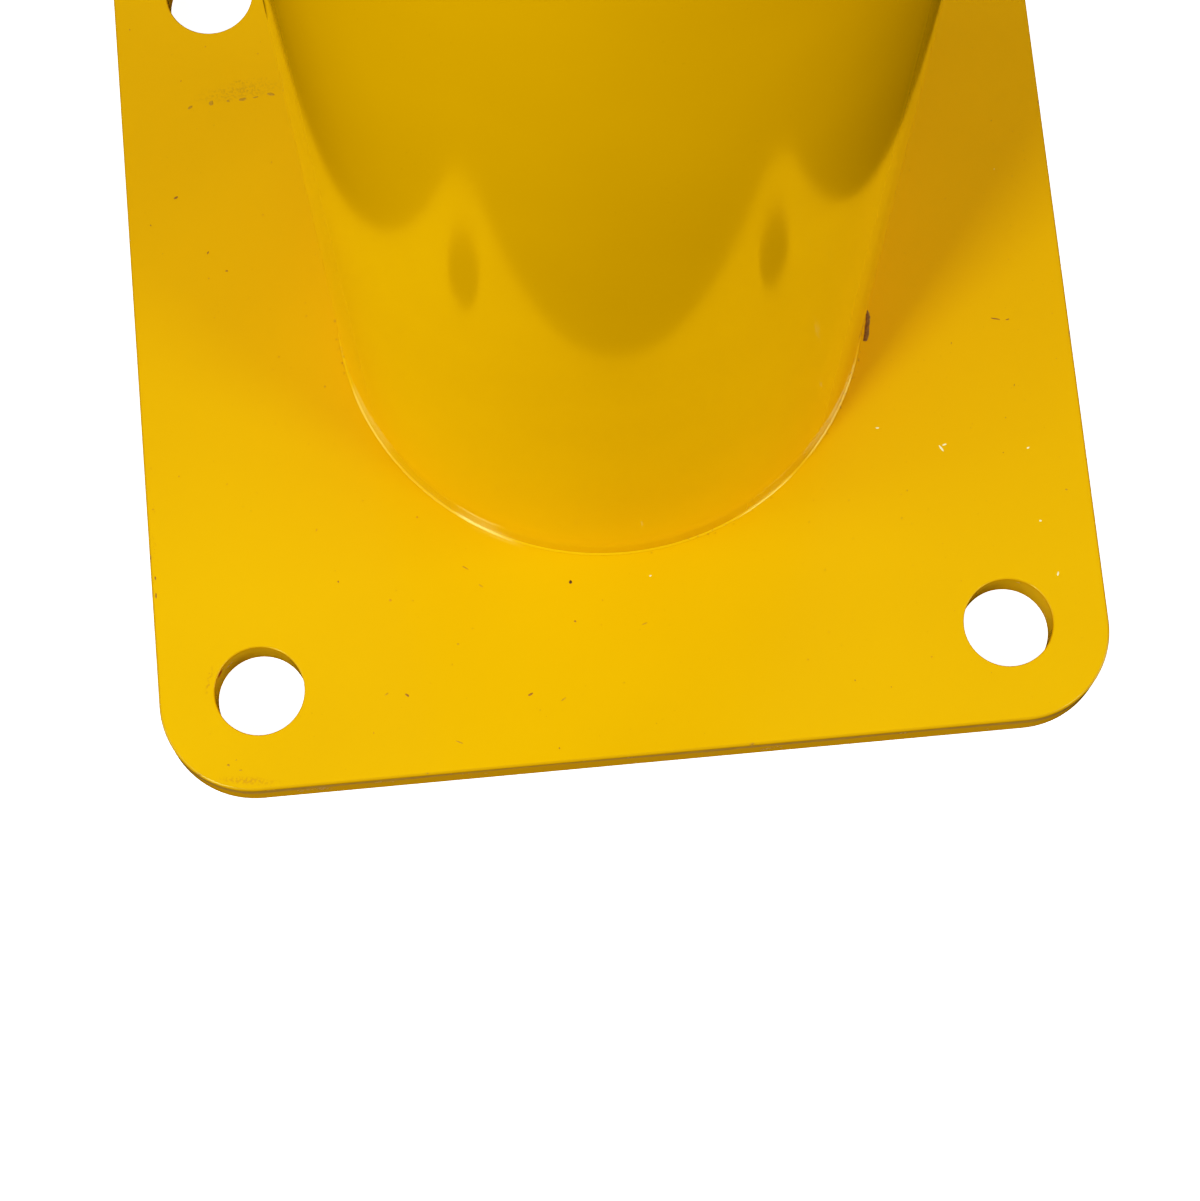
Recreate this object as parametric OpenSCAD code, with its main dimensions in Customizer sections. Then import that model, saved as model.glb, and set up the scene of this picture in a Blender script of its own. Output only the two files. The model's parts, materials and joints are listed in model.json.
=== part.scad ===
/* [Base plate] */
// Side of the square base plate
plate_w = 203.2; // [165:0.1:320]
// Thickness of the base plate
plate_t = 9.5; // [8:0.1:20]
// Radius of the plate's four corners
corner_r = 20; // [6:0.5:30]
// Radius that breaks the plate's upper and lower edges
edge_r = 0.6; // [0.2:0.1:1.5]

/* [Anchor holes] */
// Distance from the plate's sides to each hole's centre
hole_inset = 21.45; // [16:0.05:35]
// Diameter of each anchor hole
hole_d = 19.05; // [10:0.05:24]
// Radius that breaks each hole's rim
hole_edge_r = 0.3; // [0.1:0.1:1]

/* [Post] */
// Outside diameter of the steel pipe
tube_d = 114.3; // [90:0.1:140]
// Wall of the steel pipe
tube_wall = 6; // [3:0.1:9]
// Length of the steel pipe
tube_len = 895; // [300:1:1500]
// Gap all round between the pipe and the plate's centre hole
tube_fit = 0.25; // [0.1:0.05:0.6]
// Height of the pipe's lower end above the floor
tube_recess = 3.5; // [2:0.1:6]
// Radius that breaks the rim at the pipe's mouth
mouth_edge_r = 0.5; // [0.2:0.1:1.2]
// Width of the pipe's lengthways weld flash, inside
seam_w = 4; // [2:0.1:8]
// Height of that flash above the bore
seam_h = 0.8; // [0.4:0.1:1.5]
// Clear height that is dressed off the flash below the cap's plug
seam_gap = 13; // [2:1:60]
// Direction of the flash round the pipe, in degrees
seam_angle = 100; // [0:1:359]

/* [Welds] */
// Leg of the smooth fillet at the foot of the post
fillet_leg = 1.2; // [0.8:0.1:4]
// Thickness of the fillet at its two toes
fillet_toe = 0.03; // [0.02:0.01:0.1]
// Number of straight strokes that make up the fillet's hollow face
fillet_strokes = 6; // [2:1:10]
// Length missing from that fillet, along the pipe
skip_len = 7; // [2:0.5:20]
// Direction of the missing stretch round the pipe, in degrees
skip_angle = -11; // [-180:1:180]
// Clearance of the underside weld above the floor
root_clear = 0.6; // [0.2:0.1:1.5]
// Part of the pipe's wall that the underside weld leaves bare
root_land = 1.5; // [0.5:0.1:2.5]

/* [End cap] */
// Height of the cap above the pipe's mouth
cap_rise = 15.9; // [10:0.1:30]
// Height of the cap's straight side
cap_side = 3.5; // [2:0.1:6]
// How far the cap overhangs the pipe
cap_lip = 0.6; // [0:0.1:3]
// Radius of the cap's outer edge
cap_edge_r = 3; // [1:0.1:5]
// Thickness of the cap's crown at its middle
cap_skin = 6; // [4:0.1:9]
// Depth of the plug below the pipe's mouth
plug_len = 32; // [20:0.5:38]
// Wall of the plug
plug_wall = 3.2; // [2:0.1:5]
// Gap between the plug's wall and the pipe's bore
plug_gap = 2; // [1:0.1:4]
// Gap between the plug's fins and the pipe's bore
fin_gap = 0.3; // [0.2:0.05:0.6]
// Number of fins round the plug
fin_count = 3; // [1:1:5]
// Height of each fin where it leaves the plug
fin_t = 3; // [2:0.1:4]

/* [Hidden] */
$fn = 96;
cut = 1;
enamel = "#f0b800";
bare_steel = "#6f6a63";
cap_black = "#232425";

plate_half = plate_w / 2;
hole_r = hole_d / 2;
hole_pitch = plate_w - 2 * hole_inset;
tube_r = tube_d / 2;
bore_r = tube_r - tube_wall;
socket_r = tube_r + tube_fit;
mouth_z = tube_recess + tube_len;
plug_r = bore_r - plug_gap;
plug_bore_r = plug_r - plug_wall;
fin_r = bore_r - fin_gap;
fin_step = plug_len / (fin_count + 1);
seam_len = tube_len - plug_len - seam_gap;
cap_r = tube_r + cap_lip;

// The crown is a sphere that runs smoothly into the cap's rounded edge
crown_in = cap_r - cap_edge_r;
crown_drop = cap_rise - cap_edge_r;
crown_z = (crown_in * crown_in + cap_side * cap_side - crown_drop * crown_drop)
    / (2 * (cap_side - crown_drop));
crown_r = cap_rise - crown_z;
crown_slope = (cap_side - crown_z) / crown_in;

// What a rounded edge removes: the body's sharp corner is at the origin, and the body is below and left
module edge_waste(r) {
    difference() {
        translate([-r, -r])
            square(r + cut);
        translate([-r, -r])
            circle(r);
    }
}

// Cuts a rounded edge round the top of the plate's outline
module plate_edge_waste() {
    inset = plate_half - corner_r;
    for (turn = [0 : 90 : 270]) {
        rotate([0, 0, turn]) {
            translate([plate_half, inset, 0])
                rotate([90, 0, 0])
                    linear_extrude(2 * inset)
                        edge_waste(edge_r);
            translate([inset, inset, 0])
                rotate_extrude(angle = 90)
                    translate([corner_r, 0])
                        edge_waste(edge_r);
        }
    }
}

// Cuts a rounded rim round the top of a hole of radius r
module rim_waste(r, edge) {
    rotate_extrude()
        translate([r, 0])
            mirror([1, 0])
                edge_waste(edge);
}

// Does the same to its children at the plate's upper and lower face
module on_both_faces() {
    translate([0, 0, plate_t])
        children();
    mirror([0, 0, 1])
        children();
}

module at_anchor_holes() {
    for (x = [-1, 1])
        for (y = [-1, 1])
            translate([x * hole_pitch / 2, y * hole_pitch / 2, 0])
                children();
}

module plate_outline() {
    inset = plate_half - corner_r;
    square([plate_w, 2 * inset], center = true);
    square([2 * inset, plate_w], center = true);
    for (x = [-1, 1])
        for (y = [-1, 1])
            translate([x * inset, y * inset])
                circle(corner_r);
}

// Square steel plate with four anchor holes and a centre hole that the post stands in
module base_plate() {
    color(enamel)
        difference() {
            linear_extrude(plate_t)
                plate_outline();
            on_both_faces()
                plate_edge_waste();
            at_anchor_holes() {
                translate([0, 0, -cut])
                    cylinder(r = hole_r, h = plate_t + 2 * cut);
                on_both_faces()
                    rim_waste(hole_r, hole_edge_r);
            }
            translate([0, 0, -cut])
                cylinder(r = socket_r, h = plate_t + 2 * cut);
        }
}

// Steel pipe, open at both ends, with its lower end let into the plate
module post_tube() {
    color(enamel)
        difference() {
            translate([0, 0, tube_recess])
                cylinder(r = tube_r, h = tube_len);
            translate([0, 0, tube_recess - cut])
                cylinder(r = bore_r, h = tube_len + 2 * cut);
            translate([0, 0, mouth_z]) {
                rim_waste(bore_r, mouth_edge_r);
                rotate_extrude()
                    translate([tube_r, 0])
                        edge_waste(mouth_edge_r);
            }
        }
}

// Flash of the pipe's own lengthways weld, left on the bore below the plug
module seam_bead() {
    flash_r = (seam_w * seam_w / 4 + seam_h * seam_h) / (2 * seam_h);
    $fn = 720;
    color(bare_steel)
        intersection() {
            rotate([0, 0, seam_angle])
                translate([bore_r + flash_r - seam_h, 0, tube_recess])
                    cylinder(r = flash_r, h = seam_len);
            translate([0, 0, tube_recess])
                cylinder(r = bore_r, h = seam_len);
        }
}

// Smooth fillet in the corner between post and plate, with one short stretch missing
module foot_fillet() {
    skip_sweep = skip_len / tube_r * 180 / PI;
    hollow_r = fillet_leg - fillet_toe;
    stroke = 90 / fillet_strokes;
    color(enamel)
        translate([0, 0, plate_t])
            rotate([0, 0, skip_angle + skip_sweep / 2])
                rotate_extrude(angle = 360 - skip_sweep)
                    translate([tube_r, 0])
                        polygon([
                            [0, fillet_leg],
                            [0, 0],
                            [fillet_leg, 0],
                            for (i = [0 : fillet_strokes])
                                [
                                    fillet_leg - hollow_r * sin(i * stroke),
                                    fillet_leg - hollow_r * cos(i * stroke)
                                ]
                        ]);
}

// Weld that joins the pipe's lower end to the wall of the plate's centre hole, clear of the floor
module root_weld() {
    color(enamel)
        rotate_extrude()
            polygon([
                [bore_r + root_land, tube_recess],
                [socket_r, tube_recess],
                [socket_r, root_clear]
            ]);
}

// Half of the cap's domed head, from its axis outwards
module head_profile() {
    intersection() {
        translate([0, crown_z])
            circle(crown_r);
        polygon([
            [0, 0],
            [crown_in, 0],
            [crown_in, cap_side],
            [crown_in + cap_rise / crown_slope, cap_side + cap_rise],
            [0, cap_side + cap_rise]
        ]);
    }
    square([cap_r, cap_side]);
    intersection() {
        translate([crown_in, cap_side])
            circle(cap_edge_r);
        square([cap_r + cut, cap_rise]);
    }
}

// One fin: thick where it leaves the plug and thin at the bore, leaning up as it is pushed in
module fin_profile() {
    tip = fin_t / 3;
    polygon([
        [plug_r - plug_wall / 2, -fin_t],
        [fin_r, -tip],
        [fin_r, 0],
        [plug_r - plug_wall / 2, 0]
    ]);
}

// Half of the plug's wall and fins, below the pipe's mouth
module plug_profile() {
    translate([plug_bore_r, -plug_len])
        square([plug_wall, plug_len + cap_side / 2]);
    for (i = [1 : fin_count])
        translate([0, -i * fin_step])
            fin_profile();
}

// Soft push-in cap: a domed head that seats on the pipe's mouth, and a hollow finned plug
module end_cap() {
    color(cap_black)
        translate([0, 0, mouth_z])
            rotate_extrude()
                difference() {
                    union() {
                        head_profile();
                        plug_profile();
                    }
                    intersection() {
                        translate([0, crown_z])
                            circle(crown_r - cap_skin);
                        square([plug_bore_r, cap_rise]);
                    }
                }
}

base_plate();
post_tube();
seam_bead();
foot_fillet();
root_weld();
end_cap();
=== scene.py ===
"""A bolt-down steel safety bollard: a glossy yellow pipe welded into a square plate, with a soft push-in cap.

Everything is in metres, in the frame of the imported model: the origin is in the middle of the plate's
underside, +Z is up the post, and -Y is the side that is seen nearest.
"""

import json
import logging
import math
import random
from dataclasses import dataclass, field
from enum import Enum
from typing import Any, Callable, Iterable, Sequence, Union

import bmesh
import bpy
from mathutils import Matrix, Vector, noise


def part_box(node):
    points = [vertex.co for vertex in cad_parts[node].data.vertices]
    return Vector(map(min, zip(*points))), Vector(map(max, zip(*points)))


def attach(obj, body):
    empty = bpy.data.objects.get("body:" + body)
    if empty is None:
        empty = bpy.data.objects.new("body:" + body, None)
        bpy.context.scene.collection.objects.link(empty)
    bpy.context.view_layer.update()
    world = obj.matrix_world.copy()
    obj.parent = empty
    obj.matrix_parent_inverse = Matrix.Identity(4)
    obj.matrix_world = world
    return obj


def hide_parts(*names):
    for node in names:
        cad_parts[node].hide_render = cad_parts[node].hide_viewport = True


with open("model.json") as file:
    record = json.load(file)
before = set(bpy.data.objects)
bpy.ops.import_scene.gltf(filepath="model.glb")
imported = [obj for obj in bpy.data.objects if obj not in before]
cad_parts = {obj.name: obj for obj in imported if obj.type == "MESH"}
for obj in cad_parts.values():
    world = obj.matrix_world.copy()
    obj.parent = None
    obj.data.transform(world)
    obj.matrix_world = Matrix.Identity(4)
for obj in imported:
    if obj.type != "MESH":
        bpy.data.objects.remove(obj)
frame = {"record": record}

MM = 0.001
ROOT_LAND = 1.5 * MM  # the part of the pipe's wall that the weld beneath leaves bare
LOG = logging.getLogger("bollard")
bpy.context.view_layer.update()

Colour = tuple[float, float, float]
Point2 = tuple[float, float]


class Body(Enum):
    """The rigid bodies that pieces ride on."""

    BOLLARD = "bollard"
    CAP = "cap"


class Slot(Enum):
    """The record's material slots."""

    ENAMEL = "yellow_enamel"
    STEEL = "mill_steel"
    RUBBER = "cap_rubber"


class Zone(Enum):
    """Names of the per-vertex weights that tell a finish where it is."""

    CUT = "cut_wall"
    SHEARED = "sheared_side"
    RIM = "rounded_rim"
    INSIDE = "inside_bore"


# ---------------------------------------------------------------- shader building


class Value:
    """A number that varies over a surface: a node's output socket with arithmetic."""

    def __init__(self, graph: "Graph", socket: bpy.types.NodeSocket) -> None:
        """Keeps the graph that the socket belongs to."""
        self.graph = graph
        self.socket = socket

    def _math(self, operation: str, first: Any, second: Any = None) -> "Value":
        """Adds one Math node.

        Args:
            operation: the Math node's operation.
            first: its first operand.
            second: its second operand, if it takes one.

        Returns:
            The node's result.
        """
        operands = {0: first} if second is None else {0: first, 1: second}
        made = self.graph.node("ShaderNodeMath", {"operation": operation}, operands)
        return Value(self.graph, made.outputs[0])

    def __add__(self, other: Any) -> "Value":
        """self + other."""
        return self._math("ADD", self, other)

    def __radd__(self, other: Any) -> "Value":
        """other + self."""
        return self._math("ADD", other, self)

    def __sub__(self, other: Any) -> "Value":
        """self - other."""
        return self._math("SUBTRACT", self, other)

    def __rsub__(self, other: Any) -> "Value":
        """other - self."""
        return self._math("SUBTRACT", other, self)

    def __mul__(self, other: Any) -> "Value":
        """self * other."""
        return self._math("MULTIPLY", self, other)

    def __rmul__(self, other: Any) -> "Value":
        """other * self."""
        return self._math("MULTIPLY", other, self)

    def at_least(self, other: Any) -> "Value":
        """The larger of the two."""
        return self._math("MAXIMUM", self, other)

    def ramp(self, low: float, high: float, start: float = 0.0, end: float = 1.0) -> "Value":
        """Goes smoothly from one level to another.

        Args:
            low: the value at which the ramp begins.
            high: the value at which it ends.
            start: the result at low and below.
            end: the result at high and above.

        Returns:
            The smoothed level.
        """
        made = self.graph.node(
            "ShaderNodeMapRange",
            {"interpolation_type": "SMOOTHSTEP"},
            {"Value": self, "From Min": low, "From Max": high, "To Min": start, "To Max": end},
        )
        return Value(self.graph, made.outputs["Result"])


Source = Union[Value, bpy.types.NodeSocket, float, Sequence[float]]


class Graph:
    """A node tree, and the one way that nodes are added to it."""

    def __init__(self, tree: bpy.types.NodeTree) -> None:
        """Starts from an empty tree."""
        self.tree = tree
        tree.nodes.clear()

    def node(self, kind: str, settings: dict[str, Any], sockets: dict[Any, Any]) -> bpy.types.Node:
        """Adds a node.

        Args:
            kind: the node's type.
            settings: its own properties, set first; "stops" lists a ramp's positions and colours.
            sockets: a value or a link for each input, by name or number.

        Returns:
            The node.
        """
        made = self.tree.nodes.new(kind)
        for name, setting in settings.items():
            if name == "stops":
                self._set_stops(made.color_ramp, setting)
            else:
                setattr(made, name, setting)
        for name, source in sockets.items():
            if isinstance(source, Value):
                source = source.socket
            if isinstance(source, bpy.types.NodeSocket):
                self.tree.links.new(source, made.inputs[name])
            else:
                made.inputs[name].default_value = source
        return made

    @staticmethod
    def _set_stops(ramp: bpy.types.ColorRamp, stops: Sequence[tuple[float, Colour]]) -> None:
        """Sets a ramp's stops.

        Args:
            ramp: the ramp, which starts with two stops.
            stops: each position with its colour.
        """
        while len(ramp.elements) < len(stops):
            ramp.elements.new(0.5)
        for element, (place, colour) in zip(ramp.elements, stops):
            element.position = place
            element.color = (*colour, 1.0)

    def place(self) -> bpy.types.NodeSocket:
        """The point on the object, in metres."""
        return self.node("ShaderNodeTexCoord", {}, {}).outputs["Object"]

    def axis(self, name: str) -> Value:
        """One coordinate of the point on the object, by its letter."""
        parts = self.node("ShaderNodeSeparateXYZ", {}, {"Vector": self.place()})
        return Value(self, parts.outputs[name])

    def grain(self, size: float, detail: float = 2.0, where: Source | None = None) -> Value:
        """Cloudy noise from 0 to 1.

        Args:
            size: the width of one cloud, in metres.
            detail: how many finer layers are added.
            where: the coordinates to use instead of the object's own.

        Returns:
            The noise.
        """
        made = self.node(
            "ShaderNodeTexNoise",
            {"noise_dimensions": "3D"},
            {"Vector": where or self.place(), "Scale": 1.0 / size, "Detail": detail, "Roughness": 0.55},
        )
        return Value(self, made.outputs[0])

    def stretched(self, scale: Sequence[float]) -> bpy.types.NodeSocket:
        """The object's coordinates, multiplied along each axis."""
        made = self.node("ShaderNodeVectorMath", {"operation": "MULTIPLY"}, {0: self.place(), 1: tuple(scale)})
        return made.outputs[0]

    def weight(self, zone: Zone) -> Value:
        """A weight that the mesh carries at its vertices."""
        made = self.node("ShaderNodeAttribute", {"attribute_name": zone.value}, {})
        return Value(self, made.outputs["Fac"])

    def spot(self, centre: Sequence[float], size: Sequence[float], turn: float, blur: float = 0.35) -> Value:
        """A soft-edged ellipsoid.

        Args:
            centre: its middle, in metres.
            size: its half length, half width and half depth, in metres.
            turn: how far it is turned about Z, in degrees.
            blur: the share of its size over which it fades out.

        Returns:
            1 inside it, and 0 outside.
        """
        mapping = self.node(
            "ShaderNodeMapping",
            {"vector_type": "TEXTURE"},
            {
                "Vector": self.place(),
                "Location": tuple(centre),
                "Rotation": (0.0, 0.0, math.radians(turn)),
                "Scale": tuple(size),
            },
        )
        reach = self.node("ShaderNodeVectorMath", {"operation": "LENGTH"}, {0: mapping.outputs[0]})
        return Value(self, reach.outputs["Value"]).ramp(1.0 - blur, 1.0, 1.0, 0.0)

    def blend(self, amount: Source, first: Any, second: Any) -> bpy.types.NodeSocket:
        """Mixes two colours.

        Args:
            amount: the share of the second.
            first: a colour or a link.
            second: a colour or a link.

        Returns:
            The mixed colour.
        """
        sockets = {0: amount, 6: self._rgba(first), 7: self._rgba(second)}
        return self.node("ShaderNodeMix", {"data_type": "RGBA"}, sockets).outputs[2]

    @staticmethod
    def _rgba(colour: Any) -> Any:
        """A colour with its alpha, or a link as it is."""
        return colour if isinstance(colour, bpy.types.NodeSocket) else (*colour, 1.0)

    def bump(self, height: Value, depth: float, after: bpy.types.NodeSocket | None = None) -> bpy.types.NodeSocket:
        """Turns a height into a tilt of the surface.

        Args:
            height: the height, from 0 to 1.
            depth: the real height of 1, in metres.
            after: the normal of a coarser bump below it.

        Returns:
            The normal.
        """
        sockets: dict[Any, Any] = {"Height": height, "Distance": depth, "Strength": 1.0}
        if after is not None:
            sockets["Normal"] = after
        return self.node("ShaderNodeBump", {}, sockets).outputs["Normal"]

    def finish(self, sockets: dict[str, Any]) -> None:
        """Ends the tree in one Principled shader with these inputs."""
        shader = self.node("ShaderNodeBsdfPrincipled", {}, sockets)
        self.node("ShaderNodeOutputMaterial", {}, {"Surface": shader.outputs[0]})


def new_material(name: str) -> tuple[bpy.types.Material, Graph]:
    """Makes an empty node material.

    Args:
        name: its name.

    Returns:
        The material and its graph.
    """
    material = bpy.data.materials.new(name)
    material.use_nodes = True
    return material, Graph(material.node_tree)


# ---------------------------------------------------------------- finishes


class Tone(Enum):
    """What a mark on the paint looks like."""

    DARK = (0.045, 0.022, 0.006)
    BROWN = (0.24, 0.10, 0.012)
    OCHRE = (0.50, 0.20, 0.006)
    GRIME = (0.40, 0.20, 0.008)
    PALE = (0.95, 0.82, 0.42)
    RED = (0.30, 0.006, 0.004)


@dataclass(frozen=True)
class Mark:
    """One small mark on the paint: where it is, how big, and what it looks like."""

    x: float
    y: float
    z: float
    length: float
    width: float
    turn: float
    tone: Tone
    strength: float = 1.0
    ragged: float = 0.0
    depth: float = 0.8


@dataclass(frozen=True)
class Enamel:
    """Glossy yellow powder coat, thin and brownish over cut walls, and marked by handling; painted light lightens
    the plate's sides and painted shade darkens the rounded rims.
    """

    colour: Colour = (0.84, 0.415, 0.0)
    # lighter than colour: painted light on the plate's sides, and a little browner for thin paint
    thin_paint_with_painted_light_colour: Colour = (0.98, 0.455, 0.006)
    hole_colour: Colour = (0.70, 0.385, 0.006)
    scale_colour: Colour = (0.56, 0.33, 0.09)
    steel_colour: Colour = (0.36, 0.20, 0.10)
    bore_colour: Colour = (0.10, 0.075, 0.055)
    # painted shade: how much darker the rounded upper rims are painted
    rim_painted_shade: float = 0.72
    gloss_roughness: float = 0.085
    mark_roughness: float = 0.3
    rim_roughness: float = 0.12
    worn_share: float = 0.55
    chip_share: float = 0.7
    dust_share: float = 0.35
    grime_share: float = 0.6
    peel_size: float = 2.2 * MM
    peel_depth: float = 0.004 * MM
    scuff_depth: float = 0.03 * MM
    foot_radius: float = 0.0
    foot_height: float = 0.0
    plate_height: float = 9.5 * MM
    marks: tuple[Mark, ...] = ()

    def _mark_mask(self, graph: Graph, mark: Mark) -> Value:
        """Where one mark lies.

        Args:
            graph: the graph to build in.
            mark: the mark.

        Returns:
            Its strength over the surface.
        """
        half = (mark.length / 2 * MM, mark.width / 2 * MM, mark.depth * MM)
        mask = graph.spot((mark.x * MM, mark.y * MM, mark.z * MM), half, mark.turn, 0.5 + mark.ragged / 2)
        if mark.ragged:
            crumbs = graph.grain(0.6 * MM, 3.0).ramp(0.60 - 0.2 * mark.ragged, 0.70 - 0.1 * mark.ragged)
            mask = mask * crumbs
        return mask * mark.strength

    def _sheared_side(self, graph: Graph, colour: bpy.types.NodeSocket, fine: Value) -> bpy.types.NodeSocket:
        """Lets brown mill scale show through the paint along the upper part of a sheared side.

        Args:
            graph: the graph to build in.
            colour: the paint's colour so far.
            fine: fine noise.

        Returns:
            The colour with the band in it.
        """
        share = graph.axis("Z") * (1.0 / self.plate_height)
        sway = graph.grain(70 * MM, 3.0).ramp(0.3, 0.7, -0.02, 0.30)
        torn = fine.ramp(0.3, 0.7, -0.03, 0.03)
        band = (share + sway + torn).ramp(0.72, 0.90)
        band = band * graph.weight(Zone.SHEARED)
        streaks = graph.grain(2.5 * MM, 4.0, graph.stretched((1.0, 1.0, 5.0)))
        dark_scale = tuple(0.65 * c for c in self.scale_colour)
        scale = graph.blend(streaks.ramp(0.35, 0.65), self.scale_colour, dark_scale)
        return graph.blend(band * streaks.ramp(0.2, 0.5, 0.25, 0.6), colour, scale)

    def _foot_grime(self, graph: Graph) -> Value:
        """Fine dirt caught in the corner round the post's foot.

        Args:
            graph: the graph to build in.

        Returns:
            Its strength over the surface.
        """
        flat = graph.stretched((1.0, 1.0, 0.0))
        reach = graph.node("ShaderNodeVectorMath", {"operation": "LENGTH"}, {0: flat})
        away = Value(graph, reach.outputs["Value"]) - self.foot_radius
        near = (away * away).ramp(0.0, (0.9 * MM) ** 2, 1.0, 0.0)
        height = graph.axis("Z") - self.foot_height
        low = (height * height).ramp(0.0, (1.5 * MM) ** 2, 1.0, 0.0)
        crumbs = graph.grain(1.1 * MM, 4.0).ramp(0.60, 0.68)
        patches = graph.grain(22 * MM, 1.0).ramp(0.50, 0.62)
        return near * low * crumbs * patches

    def material(self, name: str) -> bpy.types.Material:
        """Builds the finish.

        Args:
            name: the material's name.

        Returns:
            The material.
        """
        made, graph = new_material(name)
        cloud = graph.grain(60 * MM, 2.0)
        fine = graph.grain(0.7 * MM, 3.0)
        deep = tuple(c * 0.95 for c in self.colour)
        colour = graph.blend(cloud.ramp(0.3, 0.7), self.colour, deep)

        cut = graph.weight(Zone.CUT)
        patchy = graph.grain(9 * MM, 4.0, graph.stretched((1.0, 1.0, 2.5)))
        # painted light: the walls of the plate's outline get a colour lighter than the top, standing in for light on
        # its sides; it is also a little browner, as thin paint
        wall = graph.blend(graph.weight(Zone.SHEARED), self.hole_colour, self.thin_paint_with_painted_light_colour)
        colour = graph.blend(cut * patchy.ramp(0.25, 0.75, 0.85, 1.0), colour, wall)
        worn = cut * patchy.ramp(0.60, 0.70) * fine.ramp(0.35, 0.6)
        colour = graph.blend(worn * self.worn_share, colour, self.steel_colour)

        colour = self._sheared_side(graph, colour, fine)

        rim = graph.weight(Zone.RIM)
        # painted shade: the rounded rims of the plate and of the pipe's mouth are painted darker than the paint
        # beside them
        colour = graph.blend(rim, colour, tuple(self.rim_painted_shade * c for c in self.colour))
        chips = rim * graph.grain(5 * MM, 3.0).ramp(0.66, 0.70) * fine.ramp(0.4, 0.5)
        colour = graph.blend(chips * self.chip_share, colour, Tone.BROWN.value)

        inside = graph.weight(Zone.INSIDE)
        overspray = graph.grain(2.0 * MM, 4.0) * 0.4 + graph.grain(45 * MM, 2.0) * 0.6
        bare = inside * overspray.ramp(0.42, 0.60, 0.75, 1.0)
        light_scale = tuple(c * 2.1 for c in self.bore_colour)
        scale_tone = graph.blend(graph.grain(6 * MM, 4.0).ramp(0.35, 0.7), self.bore_colour, light_scale)
        colour = graph.blend(bare, colour, scale_tone)

        dust = graph.grain(0.55 * MM, 1.0).ramp(0.765, 0.80) * graph.grain(30 * MM, 1.0).ramp(0.4, 0.6)
        colour = graph.blend(dust * self.dust_share, colour, Tone.GRIME.value)
        total = worn.at_least(chips).at_least(bare)
        if self.foot_radius:
            grime = self._foot_grime(graph)
            colour = graph.blend(grime * self.grime_share, colour, Tone.BROWN.value)
            total = total.at_least(grime)
        for mark in self.marks:
            mask = self._mark_mask(graph, mark)
            colour = graph.blend(mask, colour, mark.tone.value)
            total = total.at_least(mask)

        gloss = cloud.ramp(0.3, 0.8, self.gloss_roughness, 1.3 * self.gloss_roughness)
        roughness = total.ramp(0.0, 1.0, 0.0, self.mark_roughness) + rim * self.rim_roughness + gloss
        peel = graph.bump(graph.grain(self.peel_size, 2.0), self.peel_depth)
        scuffed = graph.bump(total * graph.grain(0.4 * MM, 2.0), self.scuff_depth, peel)
        graph.finish(
            {
                "Base Color": colour,
                "Roughness": roughness,
                "IOR": 1.5,
                "Specular Tint": (1.0, 0.80, 0.25, 1.0),
                "Normal": scuffed,
            }
        )
        return made


@dataclass(frozen=True)
class RawSteel:
    """Bare weld metal or mill-scaled steel, brown where it has started to rust."""

    scale_colour: Colour = (0.055, 0.045, 0.038)
    rust_colour: Colour = (0.20, 0.062, 0.018)
    rust: float = 0.5
    shine: float = 0.75
    specular: float = 0.5
    grain_size: float = 1.2 * MM

    def material(self, name: str) -> bpy.types.Material:
        """Builds the finish.

        Args:
            name: the material's name.

        Returns:
            The material.
        """
        made, graph = new_material(name)
        blotch = graph.grain(4 * self.grain_size, 4.0)
        rusty = blotch.ramp(0.75 - 0.5 * self.rust, 0.95 - 0.5 * self.rust)
        pitted = graph.grain(self.grain_size, 5.0)
        light = tuple(1.8 * c for c in self.scale_colour)
        steel = graph.blend(pitted.ramp(0.35, 0.65), self.scale_colour, light)
        dark_rust = tuple(0.45 * c for c in self.rust_colour)
        oxide = graph.blend(pitted.ramp(0.4, 0.6), dark_rust, self.rust_colour)
        graph.finish(
            {
                "Base Color": graph.blend(rusty, steel, oxide),
                "Metallic": rusty.ramp(0.0, 1.0, self.shine, 0.0),
                "Roughness": pitted.ramp(0.3, 0.7, 0.45, 0.65) + rusty * 0.25,
                "Specular IOR Level": self.specular,
                "Normal": graph.bump(pitted, 0.06 * MM),
            }
        )
        return made


@dataclass(frozen=True)
class Dirt:
    """A speck of dirt or a nib in the paint, uneven in colour."""

    colour: Colour
    roughness: float

    def material(self, name: str) -> bpy.types.Material:
        """Builds the finish.

        Args:
            name: the material's name.

        Returns:
            The material.
        """
        made, graph = new_material(name)
        grain = graph.grain(0.3 * MM, 3.0)
        pale = tuple(min(1.0, 1.35 * c) for c in self.colour)
        graph.finish(
            {
                "Base Color": graph.blend(grain.ramp(0.3, 0.7), self.colour, pale),
                "Roughness": grain.ramp(0.3, 0.7, self.roughness, self.roughness + 0.25),
                "Specular IOR Level": 0.12,
                "Normal": graph.bump(grain, 0.01 * MM),
            }
        )
        return made


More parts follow.
